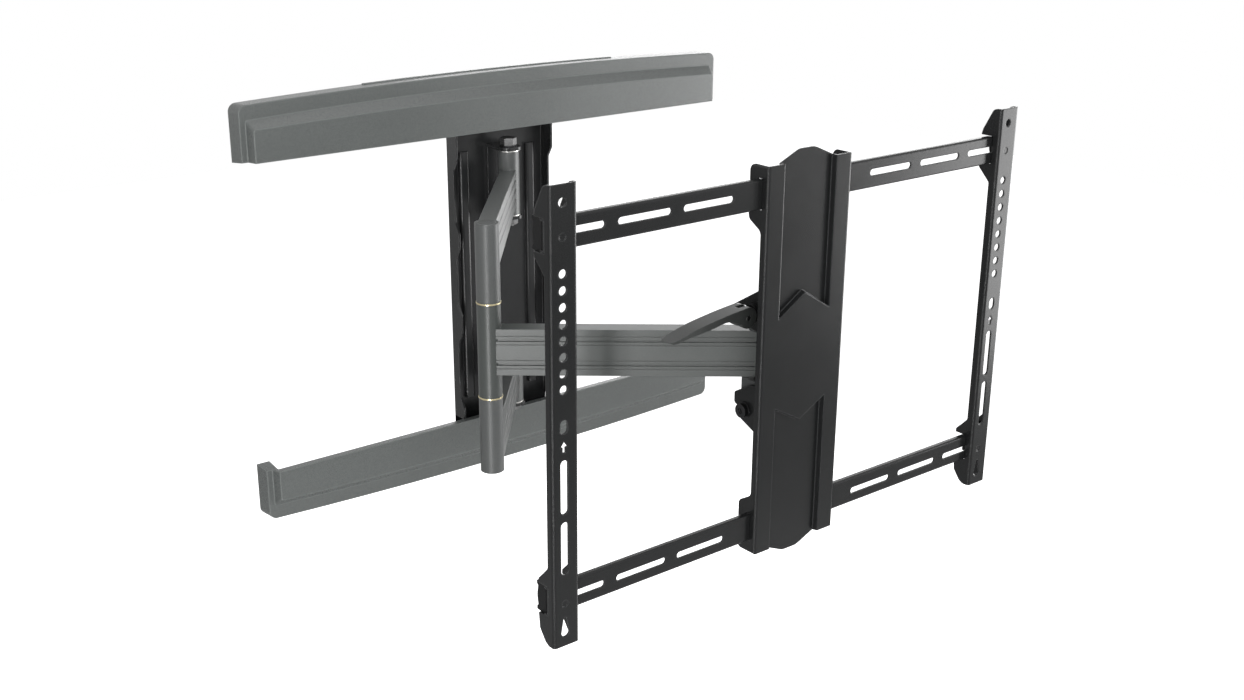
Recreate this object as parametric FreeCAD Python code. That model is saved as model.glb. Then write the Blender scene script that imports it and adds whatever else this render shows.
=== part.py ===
import FreeCAD
import Part
import math
import os

# Swivelling wall mount for a flat display.
# Millimetres. +X runs right along the wall, +Y goes into the wall, +Z is up.
# The origin is the middle of the wall plate's back face.
# Outlines written as lists hold offsets from a named axis or edge; a third number rounds that corner.

# Cutting and folding
over = 1.0
bend_inner = 1.0
running_clearance = 0.05
axial_play = 0.05

# Wall plate
plate_width = 135.0
plate_height = 452.0
plate_sheet = 2.5
plate_bend = 3.5
tab_depth = 22.8
tab_waist = 15.4
tab_gap_high = 46.0
tab_gap_low = 52.0
middle_tab_low = 39.0
middle_tab_high = 63.0
low_tab_low = -72.0
low_tab_high = -42.0
tab_slope = 12.0
tab_corner = 5.0
tab_end_corner = 3.0
tab_over_arm = 4.0
press_rib_spacing = 93.0
press_rib_width = 13.0
press_rib_depth = 5.0
press_rib_corner = 5.2
press_rib_gap_high = 78.0
press_rib_gap_low = 72.0

# Wall rails hidden in the covers
rail_end_gap = 20.0
rail_inset = 16.0
rail_height = 40.0
rail_sheet = 2.5
rail_lip = 9.0
joggle_gap = 8.0
joggle_run = 4.0
screw_slot_width = 8.5
screw_slot_length = 45.0
stud_pitch = 406.4
inner_stud_pitch = 304.8
rivet_radius = 3.0
rivet_head_radius = 6.0
rivet_head_tip = 3.6
rivet_head_height = 2.2
rivet_pitch_x = 90.0
rivet_pitch_z = 22.0

# Covers
cover_width = 650.0
rim_inset = 53.0
cover_end_height = 59.5
cover_crown = 6.6
cover_strip_depth = 20.0
cover_face_depth = 31.0
cover_gap_depth = 22.5
cover_wall = 2.5
cover_draft = 2.3
cover_root_inset = 6.8
cover_face_inset = 10.4
cover_end_box = 13.0
root_rise_end = 43.5
root_rise_middle = 50.8
face_rise_end = 34.8
face_rise_middle = 40.0
cover_corner = 9.0
cover_face_corner = 3.0
cover_lip_reach = 171.0
cover_lip_height = 1.0
cover_lip_depth = 4.0
cover_rib_sheet = 2.0
cover_rib_first = 150.0
cover_rib_pitch = 120.0
cover_rib_setback = 0.5

# Arms
pivot_reach = 29.0
inner_length = 251.8
inner_heading = 39.57
outer_length = 288.5
outer_heading = 38.57
arm_middle = -8.6
column_radius = 12.5
inner_bar_width = 18.0
inner_bar_height = 54.8
inner_bar_taper = 13.0
inner_groove_depth = 0.8
inner_groove_width = 2.4
inner_groove_pitch = 11.0
inner_groove_count = 3
knuckle_length = 75.0
upper_knuckle_rise = 21.2
lower_knuckle_drop = 17.5
outer_width = 20.0
outer_height = 50.2
outer_wall = 3.0
outer_groove_pitch = 26.2
outer_groove_width = 2.6
outer_groove_depth = 1.6
outer_line_width = 1.0
outer_line_depth = 0.5
outer_line_offset = 4.6
elbow_tube_length = 101.5
pan_knuckle_radius = 13.0

# Elbow shaft, bushes and caps
shaft_radius = 6.0
bush_wall = 2.0
bush_length = 20.0
elbow_flange = 1.5
elbow_flange_proud = 0.4
cap_radius = 9.5
cap_height = 3.0
cap_crown = 0.5

# Wall pivots
bracket_width = 28.0
bracket_sheet = 4.0
lug_radius = 12.5
lug_nose_width = 22.4
lug_corner = 9.0
pivot_radius = 5.0
pivot_flange = 1.2
pivot_flange_proud = 0.2
washer_sheet = 1.4
washer_margin = 5.0
hex_flats = 17.0
hex_height = 8.5
low_head_height = 5.5
nut_height = 7.0
thread_end = 2.0
dome_inset = 0.8
dome_height = 8.5
rim_clearance = 0.7

# Display frame
pan_to_face = 50.2
display_middle = -2.75
plate_front = 1.0
centre_width = 115.0
centre_sheet = 2.0
centre_bend = 3.0
centre_corner = 2.0
centre_flange = 9.0
centre_above_bar = 28.0
recess_width = 71.0
recess_depth = 4.6
recess_draft = 1.4
dome_rise = 11.0
dome_flat = 10.0
dome_corner = 16.0
pad_high_shoulder = 47.8
pad_high_apex = 69.6
pad_low_shoulder = -47.2
pad_low_apex = -66.2
ear_depth = 26.3
ear_length = 54.0
ear_slope = 10.5
ear_corner = 7.0
bar_height = 30.0
bar_sheet = 2.0
bar_flange = 6.0
bar_corner = 2.0
bar_window = 0.5
bar_slot_length = 62.0
bar_slot_width = 6.8
bar_slot_pitch = 76.6
bar_slot_end_gap = 4.4
bar_slot_rise = 1.0
bar_slot_count = 3

# Upright rails
hole_columns = 600.0
hole_from_left = 13.2
upright_width = 29.4
upright_height = 442.5
upright_sheet = 2.0
upright_bend = 3.2
upright_flange = 9.3
upright_ear = 24.2
bar_inset = 45.75
notch_play = 0.4
notch_corner = 2.0
top_hole_below_top = 16.0
keyhole_above_low = 26.5
hole_radius = 4.2
row_first = 79.0
row_pitch = 15.24
row_end_gap = 25.0
dimple_radius = 3.5
dimple_depth = 0.6
dimple_drop = 46.2
dimple_low_rise = 44.4
slot_width = 8.4
short_slot_length = 13.3
short_slot_rise = 221.5
long_slot_length = 53.3
long_slot_rises = (162.6, 101.2)
arrow_rise = 202.0
arrow_height = 11.0
arrow_width = 8.0
arrow_stem = 3.0
keyhole_radius = 4.6
keyhole_neck = 2.3
keyhole_drop = 12.0
keyhole_rise = 3.5
lobe_length = 20.0
lobe_corner = 4.0
foot_outline = [(8.7, 0.0, 4.0), (14.0, 3.0, 4.0), (22.6, 14.0, 5.0)]
low_lobe_outline = [(0.0, 4.5, 4.0), (-8.0, 12.5, 4.0)]
high_lobe_outline = [(-8.0, -13.0, 4.0), (0.0, -5.0, 4.0)]
head_outline = [(-1.7, -24.0, 8.0), (-13.7, -1.5, 6.0), (-18.8, 0.0, 3.0)]

# Clips behind the crossbars
clip_depth = 29.5
clip_play = 0.3
clip_foot = 8.0
clip_foot_depth = 6.0
clip_neck = 8.0
clip_corner = 3.0
clip_step = 2.0
clip_hook = 3.5
clip_hook_corner = 1.0
clip_belly = 30.0
clip_width = 6.0

# Tilting head
head_width = 49.8
cheek_gap = 0.3
tilt_plate_sheet = 3.0
tilt_base_sheet = 3.0
tilt_base_height = 220.0
tilt_axis_depth = 53.5
tilt_axis_height = -68.4
tilt_radius = 5.0
tilt_rim_radius = 8.7
tilt_head_radius = 7.5
tilt_head_height = 4.5
tilt_socket_flats = 6.0
socket_depth = 2.5
clamp_depth = 44.0
clamp_height = 40.0
clamp_radius = 4.0
slot_play = 0.3
tilt_back = 5.0
tilt_forward = 12.0
spine_front = 26.0
spine_back = 35.5
head_lug = 8.0
head_bottom = -86.0
head_top = 51.0
head_corner = 4.0
cheek_sheet = 6.0
heel_wall = 4.0
heel_drop = 6.0
clamp_wall = 6.0
nose_width = 31.0
nose_setback = 2.0
nose_corner = 8.0
waist_depth = 34.0
waist_margin = 3.0
waist_slope = 2.0
waist_corner = 4.0
lug_step_corner = 6.0
pan_head_height = 5.0
pan_head_radius = 9.0
pan_socket_flats = 8.0
pan_pin_depth = 56.0
side_nut_margin = 2.5
tilt_lug_outline = [(-13.9, -19.6, 5.0), (6.0, -10.9, 4.0), (10.7, 2.0, 3.0), (15.5, 4.4, 3.0),
                    (15.5, 16.0, 3.0)]
clamp_lug_outline = [(27.0, -10.0, 6.0), (32.0, 1.0, 3.0), (-4.4, 23.7, 6.0)]
lug_step_low = 12.0
lug_step_high = 14.0
lug_step_rise = 5.0

# Tilt lever
lever_width = 20.0
lever_tip_width = 8.0
lever_length = 103.0
lever_shoulder = 94.0
lever_tip_corner = 5.0
lever_shoulder_corner = 14.0
cam_radius = 11.0
cam_flat = 2.0
saddle_sheet = 5.4
saddle_radius = 9.5
tongue_sheet = 6.0
tongue_play = 0.3
tongue_radius = 7.0
neck_width = 7.2
lever_pin_radius = 2.5
lever_top = [(-101.5, -6.5), (-85.0, -2.5), (-67.0, 2.0), (-47.0, 5.4), (-22.0, 8.8)]
lever_low = [(-9.0, -5.5), (-26.0, 0.8), (-44.0, -1.2), (-74.0, -4.8), (-97.0, -8.6)]

# Places on the wall side that follow from the sizes
rail_pitch = plate_height - 2 * rail_inset
rail_span = cover_width - 2 * rail_end_gap
cover_rim = plate_height / 2 - rim_inset
tab_top = plate_height / 2 - tab_gap_high
tab_bottom = -plate_height / 2 + tab_gap_low
press_rib_high = plate_height / 2 - press_rib_gap_high
press_rib_low = -plate_height / 2 + press_rib_gap_low
lug_gap = pivot_flange + axial_play
lug_stack = lug_gap + bracket_sheet
bearing_gap = elbow_flange + 2 * axial_play
tube_top = arm_middle + elbow_tube_length / 2
tube_bottom = arm_middle - elbow_tube_length / 2
lower_knuckle_low = -cover_rim + rim_clearance + low_head_height + lug_stack
lower_knuckle_high = lower_knuckle_low + knuckle_length
lower_elbow_low = lower_knuckle_low + lower_knuckle_drop
lower_elbow_high = tube_bottom - bearing_gap
elbow_knuckle_length = lower_elbow_high - lower_elbow_low
upper_elbow_low = tube_top + bearing_gap
upper_elbow_high = upper_elbow_low + elbow_knuckle_length
upper_knuckle_high = upper_elbow_high + upper_knuckle_rise
upper_knuckle_low = upper_knuckle_high - knuckle_length
outer_low = arm_middle - outer_height / 2
outer_high = arm_middle + outer_height / 2

# Places along the folded-out arms
elbow_angle = -90.0 - inner_heading
elbow_x = inner_length * math.cos(math.radians(elbow_angle))
elbow_y = -pivot_reach + inner_length * math.sin(math.radians(elbow_angle))
pan_x = elbow_x + outer_length * math.cos(math.radians(outer_heading))
pan_y = elbow_y - outer_length * math.sin(math.radians(outer_heading))

# Places on the display side
face_y = pan_y - pan_to_face
bar_pitch = upright_height - 2 * bar_inset
bar_length = hole_columns + 2 * hole_from_left
bar_slot_last = bar_length / 2 - bar_slot_end_gap - bar_slot_length / 2
centre_height = bar_pitch + 2 * centre_above_bar
hole_rows = upright_height - top_hole_below_top - keyhole_above_low
row_room = upright_height - row_first - short_slot_rise - row_end_gap
row_count = int(row_room / row_pitch) + 1
panel_front = plate_front + recess_draft + recess_depth
bar_front = panel_front + centre_sheet
tilt_y = face_y + tilt_axis_depth
clamp_y = face_y + clamp_depth
bracket_face = head_width / 2 + cheek_gap + tilt_plate_sheet
lever_x = pan_x - bracket_face - saddle_sheet - 2 * axial_play - tongue_play - cam_radius


def vec(x, y, z):
    return FreeCAD.Vector(x, y, z)


def on_xy(z):
    return lambda a, b: vec(a, b, z)


def on_xz(y):
    return lambda a, b: vec(a, y, b)


def on_yz(x):
    return lambda a, b: vec(x, a, b)


def loop(points, place, radius=0.0):
    """Closed wire through flat points; a third number in a point rounds that corner."""
    count = len(points)
    starts = []
    ends = []
    middles = []
    for i in range(count):
        px, py = points[i - 1][:2]
        qx, qy = points[i][:2]
        nx, ny = points[(i + 1) % count][:2]
        r = points[i][2] if len(points[i]) > 2 else radius
        ax, ay = px - qx, py - qy
        bx, by = nx - qx, ny - qy
        la = math.hypot(ax, ay)
        lb = math.hypot(bx, by)
        ax, ay, bx, by = ax / la, ay / la, bx / lb, by / lb
        angle = math.acos(max(-1.0, min(1.0, ax * bx + ay * by)))
        if r <= 0 or angle > math.pi - 0.01:
            starts.append((qx, qy))
            ends.append((qx, qy))
            middles.append(None)
            continue
        run = min(r / math.tan(angle / 2), 0.49 * la, 0.49 * lb)
        r = run * math.tan(angle / 2)
        starts.append((qx + ax * run, qy + ay * run))
        ends.append((qx + bx * run, qy + by * run))
        mx, my = ax + bx, ay + by
        size = math.hypot(mx, my)
        reach = r / math.sin(angle / 2) - r
        middles.append((qx + mx / size * reach, qy + my / size * reach))
    edges = []
    for i in range(count):
        if middles[i]:
            edges.append(Part.Arc(place(*starts[i]), place(*middles[i]), place(*ends[i])).toShape())
        following = starts[(i + 1) % count]
        if math.dist(ends[i], following) > 1e-6:
            edges.append(Part.makeLine(place(*ends[i]), place(*following)))
    return Part.Wire(edges)


def offsets_from(x, y, outline):
    """The points of an outline that is given from a named corner or axis."""
    return [(x + p[0], y + p[1]) + tuple(p[2:]) for p in outline]


def solid_of(wire, direction):
    return Part.Face(wire).extrude(direction)


def plan_prism(points, low, high, radius=0.0):
    return solid_of(loop(points, on_xy(low), radius), vec(0, 0, high - low))


def front_prism(points, front, back, radius=0.0):
    return solid_of(loop(points, on_xz(front), radius), vec(0, back - front, 0))


def side_prism(points, left, right, radius=0.0):
    return solid_of(loop(points, on_yz(left), radius), vec(right - left, 0, 0))


def block(x0, x1, y0, y1, z0, z1):
    return Part.makeBox(x1 - x0, y1 - y0, z1 - z0, vec(x0, y0, z0))


def rod_z(x, y, radius, low, high):
    return Part.makeCylinder(radius, high - low, vec(x, y, low), vec(0, 0, 1))


def rod_x(y, z, radius, left, right):
    return Part.makeCylinder(radius, right - left, vec(left, y, z), vec(1, 0, 0))


def rod_y(x, z, radius, front, back):
    return Part.makeCylinder(radius, back - front, vec(x, front, z), vec(0, 1, 0))


def ring_z(x, y, bore, radius, low, high):
    return rod_z(x, y, radius, low, high).cut(rod_z(x, y, bore, low, high))


def hexagon(x, y, flats, low, high, eased_up):
    """Hexagon prism on a Z axis with the corners of its outer end eased."""
    corner = flats / math.sqrt(3)
    points = [(x + corner * math.cos(math.radians(60 * i + 30)),
               y + corner * math.sin(math.radians(60 * i + 30))) for i in range(6)]
    body = plan_prism(points, low, high)
    ease = corner - flats / 2
    if eased_up:
        tip = Part.makeCone(corner, corner - ease, ease / 2, vec(x, y, high - ease / 2), vec(0, 0, 1))
        rest = rod_z(x, y, corner, low, high - ease / 2)
    else:
        tip = Part.makeCone(corner, corner - ease, ease / 2, vec(x, y, low + ease / 2), vec(0, 0, -1))
        rest = rod_z(x, y, corner, low + ease / 2, high)
    return body.common(rest.fuse(tip))


def hexagon_x(y, z, flats, left, right, eased_right):
    """The same hexagon laid along X."""
    shape = hexagon(0, 0, flats, 0, right - left, eased_right)
    shape.rotate(vec(0, 0, 0), vec(0, 1, 0), 90)
    shape.translate(vec(left, y, z))
    return shape


def slot_y(x, z, length, width, front, back, upright=False):
    """Round-ended slot tool that goes through along Y, long in X or in Z."""
    reach = (length - width) / 2
    if upright:
        ends = rod_y(x, z - reach, width / 2, front, back).fuse(rod_y(x, z + reach, width / 2, front, back))
        return ends.fuse(block(x - width / 2, x + width / 2, front, back, z - reach, z + reach))
    ends = rod_y(x - reach, z, width / 2, front, back).fuse(rod_y(x + reach, z, width / 2, front, back))
    return ends.fuse(block(x - reach, x + reach, front, back, z - width / 2, z + width / 2))


def turned(shape, angle, x, y):
    """A shape drawn along +X from the origin, turned about Z and moved to its pivot."""
    shape = shape.copy()
    shape.rotate(vec(0, 0, 0), vec(0, 0, 1), angle)
    shape.translate(vec(x, y, 0))
    return shape


def flipped(shape):
    return shape.mirror(vec(0, 0, 0), vec(0, 0, 1))


def save(name, shapes):
    if not isinstance(shapes, list):
        shapes = [shapes]
    solids = []
    for shape in shapes:
        solids += shape.removeSplitter().Solids
    result = solids[0] if len(solids) == 1 else Part.makeCompound(solids)
    result.exportStep("parts/" + name + ".step")
    print(name, len(solids), result.isValid(), round(result.Volume / 1000, 1))


# Wall frame

def wall_plate():
    """Pressed plate with side flanges that step back where the folded arms pass."""
    half = plate_width / 2
    high = plate_height / 2
    t = plate_sheet
    outside = [(-half, -tab_depth), (-half, 0, plate_bend), (half, 0, plate_bend), (half, -tab_depth)]
    inside = [(-half + t, -tab_depth), (-half + t, -t, bend_inner), (half - t, -t, bend_inner),
              (half - t, -tab_depth)]
    shell = plan_prism(outside, -high, high).cut(plan_prism(inside, -high, high))
    plate = shell.common(side_prism(flange_profile(high), -half, half))
    for side in (-1, 1):
        plate = plate.fuse(pressed_rib(side * press_rib_spacing / 2, 0.0))
    for side in (-1, 1):
        plate = plate.cut(pressed_rib(side * press_rib_spacing / 2, t))
    for hole in rivet_holes():
        plate = plate.cut(hole)
    return plate


def flange_profile(high):
    """Side outline of the wall plate: tabs where the flanges stand, waists where the arms pass."""
    arm_top = upper_elbow_high + tab_over_arm
    arm_bottom = lower_elbow_low - tab_over_arm
    t = plate_sheet
    s = tab_slope
    r = tab_corner
    deep = -tab_depth
    waist = -tab_waist
    return [(0, -high), (-t, -high), (-t, tab_bottom), (deep, tab_bottom, tab_end_corner),
            (deep, arm_bottom - s, r), (waist, arm_bottom, r), (waist, low_tab_low - s / 2, r),
            (deep, low_tab_low + s / 2, r), (deep, low_tab_high, r), (waist, low_tab_high + s, r),
            (waist, middle_tab_low - s, r), (deep, middle_tab_low, r), (deep, middle_tab_high - s / 2, r),
            (waist, middle_tab_high + s / 2, r), (waist, arm_top, r), (deep, arm_top + s, r),
            (deep, tab_top, tab_end_corner), (-t, tab_top), (-t, high), (0, high)]


def pressed_rib(x, wall):
    """Ridge pressed forward out of the plate; with a wall it is the hollow behind it."""
    half = press_rib_width / 2 - wall
    front = -press_rib_depth - plate_sheet + wall
    corner = press_rib_corner - wall
    section = [(x - half, 0), (x - half, front, corner), (x + half, front, corner), (x + half, 0)]
    return plan_prism(section, press_rib_low + wall, press_rib_high - wall)


def rivet_places():
    places = []
    for level in (-1, 1):
        for side in (-1, 1):
            for row in (-1, 1):
                places.append((side * rivet_pitch_x / 2, level * rail_pitch / 2 + row * rivet_pitch_z / 2))
    return places


def rivet_holes():
    front = -plate_sheet - rail_sheet - over
    return [rod_y(x, z, rivet_radius, front, over) for x, z in rivet_places()]


def rail_rivets():
    rivets = []
    front = -plate_sheet - rail_sheet
    for x, z in rivet_places():
        shank = rod_y(x, z, rivet_radius, front, 0)
        head = Part.makeCone(rivet_head_radius, rivet_head_tip, rivet_head_height, vec(x, front, z),
                             vec(0, -1, 0))
        rivets.append(shank.fuse(head))
    return rivets


def wall_rail():
    """Upper wall rail: flat on the wall at both ends and stepped forward over the plate."""
    t = rail_sheet
    step = plate_sheet
    near = plate_width / 2 + joggle_gap
    far = near + joggle_run
    end = rail_span / 2
    line = [(-end, 0), (-far, 0), (-near, -step), (near, -step), (far, 0), (end, 0)]
    back = [(x, y - t) for x, y in reversed(line)]
    middle = rail_pitch / 2
    low = middle - rail_height / 2
    high = middle + rail_height / 2
    rail = plan_prism(line + back, low, high)
    for side in (-1, 1):
        x0, x1 = sorted((side * (far + t), side * end))
        rail = rail.fuse(block(x0, x1, -rail_lip, 0, high - t, high))
        rail = rail.fuse(block(x0, x1, -rail_lip, 0, low, low + t))
        for pitch in (stud_pitch, inner_stud_pitch):
            tool = slot_y(side * pitch / 2, middle, screw_slot_length, screw_slot_width, -rail_lip, over)
            rail = rail.cut(tool)
    for hole in rivet_holes():
        rail = rail.cut(hole)
    return rail


def arc_band(half, low, end_high, mid_high, y, corner):
    """Wire on a plane of constant depth: flat below, rounded upper corners, crowned along the top."""
    c = corner
    d = corner * (1 - math.sqrt(0.5))
    z = end_high
    left = Part.Arc(vec(-half + c, y, z), vec(-half + d, y, z - d), vec(-half, y, z - c))
    right = Part.Arc(vec(half, y, z - c), vec(half - d, y, z - d), vec(half - c, y, z))
    top = Part.Arc(vec(half - c, y, z), vec(0, y, mid_high), vec(-half + c, y, z))
    return Part.Wire([left.toShape(),
                      Part.makeLine(vec(-half, y, z - c), vec(-half, y, low)),
                      Part.makeLine(vec(-half, y, low), vec(half, y, low)),
                      Part.makeLine(vec(half, y, low), vec(half, y, z - c)),
                      right.toShape(), top.toShape()])


def cover_form(inset):
    """Solid form of the upper cover, shrunk on every walled side by the inset."""
    half = cover_width / 2 - inset
    low = cover_rim + inset
    end_high = cover_rim + cover_end_height - inset
    mid_high = end_high + cover_crown
    corner = cover_corner - inset
    step = -cover_strip_depth + inset
    wall_edge = arc_band(half + cover_draft, low - cover_draft, end_high, mid_high, 0, corner)
    strip_edge = arc_band(half, low, end_high, mid_high, step, corner)
    strip = Part.makeLoft([wall_edge, strip_edge], True, True)
    corner = max(cover_face_corner - inset, cover_face_corner / 4)
    root = arc_band(half - cover_root_inset, low, cover_rim + root_rise_end - inset,
                    cover_rim + root_rise_middle - inset, step, corner)
    face = arc_band(half - cover_face_inset, low, cover_rim + face_rise_end - inset,
                    cover_rim + face_rise_middle - inset, -cover_face_depth + inset, corner)
    return strip.fuse(Part.makeLoft([root, face], True, True))


def cover_lip():
    """Low lip along the wall edge of the crowned top, over the middle of the cover."""
    end_high = cover_rim + cover_end_height + cover_lip_height
    mid_high = end_high + cover_crown
    edge = arc_band(cover_width / 2, cover_rim, end_high, mid_high, -cover_lip_depth, cover_corner)
    band = solid_of(edge, vec(0, cover_lip_depth, 0))
    return band.common(block(-cover_lip_reach, cover_lip_reach, -cover_lip_depth, 0,
                             end_high - cover_corner, mid_high + over))


def upper_cover():
    """Hollow moulding with a raised, chamfered face and an open gap at the wall below."""
    shell = cover_form(0).fuse(cover_lip()).cut(cover_form(cover_wall))
    reach = cover_width / 2 - cover_end_box
    gap = block(-reach, reach, -cover_gap_depth, over, cover_rim - cover_draft - over,
                cover_rim + cover_wall + over)
    shell = shell.cut(gap)
    rail_top = rail_pitch / 2 + rail_height / 2
    for side in (-1, 1):
        for k in range(2):
            x = side * (cover_rib_first + k * cover_rib_pitch)
            rib = block(x - cover_rib_sheet / 2, x + cover_rib_sheet / 2, -cover_strip_depth,
                        -cover_rib_setback, rail_top, cover_rim + cover_end_height + cover_crown)
            shell = shell.fuse(rib.common(cover_form(cover_wall / 2)))
    return shell


def pivot_bracket(knuckle_low, knuckle_high):
    """Folded C bracket: a back on the plate and a rounded lug above and below the knuckle."""
    low = knuckle_low - lug_stack
    high = knuckle_high + lug_stack
    half = bracket_width / 2
    nose = lug_nose_width / 2
    back = -plate_sheet
    front = -pivot_reach - lug_radius
    lug = [(-half, back), (-half, -pivot_reach), (-nose, front, lug_corner), (nose, front, lug_corner),
           (half, -pivot_reach), (half, back)]
    hollow = block(-half - over, half + over, front - over, back - bracket_sheet, low + bracket_sheet,
                   high - bracket_sheet)
    bracket = plan_prism(lug, low, high).cut(hollow)
    return bracket.cut(rod_z(0, -pivot_reach, pivot_radius, low - over, high + over))


def upper_pivot_bolt():
    seat = upper_knuckle_high + lug_stack + washer_sheet
    tip = upper_knuckle_low - lug_stack - nut_height - thread_end
    shank = rod_z(0, -pivot_reach, pivot_radius, tip, seat)
    return shank.fuse(hexagon(0, -pivot_reach, hex_flats, seat, seat + hex_height, True))


def lower_pivot_bolt():
    seat = lower_knuckle_low - lug_stack
    tip = lower_knuckle_high + lug_stack + washer_sheet + nut_height
    shank = rod_z(0, -pivot_reach, pivot_radius, seat, tip)
    return shank.fuse(hexagon(0, -pivot_reach, hex_flats, seat - low_head_height, seat, False))


def pivot_nut():
    seat = upper_knuckle_low - lug_stack
    nut = hexagon(0, -pivot_reach, hex_flats, seat - nut_height, seat, False)
    return nut.cut(rod_z(0, -pivot_reach, pivot_radius, seat - nut_height - over, seat + over))


def dome_nut():
    """Hexagon with a round cap over the end of the lower pivot bolt."""
    seat = lower_knuckle_high + lug_stack + washer_sheet
    top = seat + nut_height
    radius = hex_flats / 2 - dome_inset
    waist = top + dome_height - radius
    dome = Part.makeSphere(radius, vec(0, -pivot_reach, waist)).common(
        rod_z(0, -pivot_reach, radius + over, waist, waist + radius + over))
    nut = hexagon(0, -pivot_reach, hex_flats, seat, top, True)
    nut = nut.fuse(rod_z(0, -pivot_reach, radius, top - over, waist)).fuse(dome)
    return nut.cut(rod_z(0, -pivot_reach, pivot_radius, seat - over, top))


def pivot_washers():
    outer = pivot_radius + washer_margin
    seats = (upper_knuckle_high + lug_stack, lower_knuckle_high + lug_stack)
    return [ring_z(0, -pivot_reach, pivot_radius, outer, z, z + washer_sheet) for z in seats]


# Arms

def inner_bar(low_wall, high_wall, low_elbow, high_elbow):
    """Bar between the two knuckles: a flat outline on the arm's middle plane, drawn out to its width."""
    outline = [(0, low_wall), (inner_length, low_elbow), (inner_length, high_elbow), (0, high_wall)]
    return front_prism(outline, -inner_bar_width / 2, inner_bar_width / 2)


def inner_arm(knuckle_low, knuckle_high, elbow_low, elbow_high, upper):
    """Cast arm: two knuckles, a bar flush with the far end of the elbow and grooves along it."""
    if upper:
        edge = elbow_high
        sign = -1
        bar = inner_bar(edge - inner_bar_height + inner_bar_taper, edge, edge - inner_bar_height, edge)
        seat = elbow_high - cap_height
    else:
        edge = elbow_low
        sign = 1
        bar = inner_bar(edge, edge + inner_bar_height - inner_bar_taper, edge, edge + inner_bar_height)
        seat = elbow_low + cap_height
    half = inner_bar_width / 2
    w = inner_groove_width / 2
    for k in range(1, inner_groove_count + 1):
        z = edge + sign * inner_groove_pitch * k
        for side in (-1, 1):
            y0, y1 = sorted((side * half, side * (half - inner_groove_depth)))
            bar = bar.cut(block(0, inner_length, y0, y1, z - w, z + w))
    arm = bar.fuse(rod_z(0, 0, column_radius, knuckle_low, knuckle_high))
    arm = arm.fuse(rod_z(inner_length, 0, column_radius, elbow_low, elbow_high))
    bush = pivot_radius + running_clearance + bush_wall
    arm = arm.cut(rod_z(0, 0, bush, knuckle_low - over, knuckle_high + over))
    arm = arm.cut(rod_z(inner_length, 0, shaft_radius, elbow_low - over, elbow_high + over))
    z0, z1 = sorted((seat, edge - sign * over))
    arm = arm.cut(rod_z(inner_length, 0, cap_radius, z0, z1))
    return turned(arm, elbow_angle, 0, -pivot_reach)


def elbow_shaft():
    low = lower_elbow_low + cap_height
    return rod_z(elbow_x, elbow_y, shaft_radius, low, upper_elbow_high - cap_height)


def elbow_caps():
    caps = []
    for seat, way in ((upper_elbow_high - cap_height, 1), (lower_elbow_low + cap_height, -1)):
        disc = Part.makeCylinder(cap_radius, cap_height, vec(elbow_x, elbow_y, seat), vec(0, 0, way))
        crown = Part.makeCone(cap_radius, cap_radius - 2 * cap_crown, cap_crown,
                              vec(elbow_x, elbow_y, seat + way * cap_height), vec(0, 0, way))
        caps.append(disc.fuse(crown))
    return caps


def flanged_bush(x, y, bore, radius, flange_radius, seat, way, flange):
    """Sleeve let into a knuckle with its flange standing on the knuckle's end."""
    sleeve = Part.makeCylinder(radius, bush_length, vec(x, y, seat), vec(0, 0, -way))
    rim = Part.makeCylinder(flange_radius, flange, vec(x, y, seat), vec(0, 0, way))
    reach = bush_length + flange
    return sleeve.fuse(rim).cut(rod_z(x, y, bore, seat - reach, seat + reach))


def elbow_bushes():
    bore = shaft_radius + running_clearance
    rim = column_radius + elbow_flange_proud
    return [flanged_bush(elbow_x, elbow_y, bore, bore + bush_wall, rim, seat, way, elbow_flange)
            for seat, way in ((tube_top, 1), (tube_bottom, -1))]


def pivot_bushes():
    bore = pivot_radius + running_clearance
    rim = column_radius + pivot_flange_proud
    places = ((upper_knuckle_high, 1), (upper_knuckle_low, -1), (lower_knuckle_high, 1),
              (lower_knuckle_low, -1))
    return [flanged_bush(0, -pivot_reach, bore, bore + bush_wall, rim, seat, way, pivot_flange)
            for seat, way in places]


def outer_arm():
    """Hollow extrusion with grooved sides, an elbow tube at one end and the pan knuckle."""
    half = outer_width / 2
    arm = block(0, outer_length, -half, half, outer_low, outer_high)
    for side in (-1, 1):
        for level in (-1, 1):
            z = arm_middle + level * outer_groove_pitch / 2
            cuts = [(z, outer_groove_width, outer_groove_depth),
                    (z + outer_line_offset, outer_line_width, outer_line_depth),
                    (z - outer_line_offset, outer_line_width, outer_line_depth)]
            for centre, width, depth in cuts:
                y0, y1 = sorted((side * half, side * (half - depth)))
                arm = arm.cut(block(0, outer_length, y0, y1, centre - width / 2, centre + width / 2))
    arm = arm.fuse(rod_z(0, 0, column_radius, tube_bottom, tube_top))
    arm = arm.fuse(rod_z(outer_length, 0, pan_knuckle_radius, outer_low, outer_high))
    inner = half - outer_wall
    start = column_radius + outer_wall
    finish = outer_length - pan_knuckle_radius - outer_wall
    web = outer_wall / 2
    arm = arm.cut(block(start, finish, -inner, inner, outer_low + outer_wall, arm_middle - web))
    arm = arm.cut(block(start, finish, -inner, inner, arm_middle + web, outer_high - outer_wall))
    bore = shaft_radius + running_clearance
    arm = arm.cut(rod_z(0, 0, bore + bush_wall, tube_bottom - over, tube_top + over))
    arm = arm.cut(rod_z(outer_length, 0, bore, outer_low - over, outer_high + over))
    return turned(arm, -outer_heading, elbow_x, elbow_y)


def pan_washers():
    rim = pan_knuckle_radius + elbow_flange_proud
    bore = shaft_radius + running_clearance
    seats = (outer_high, outer_low - elbow_flange)
    return [ring_z(pan_x, pan_y, bore, rim, z, z + elbow_flange) for z in seats]


# Tilting head

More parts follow.
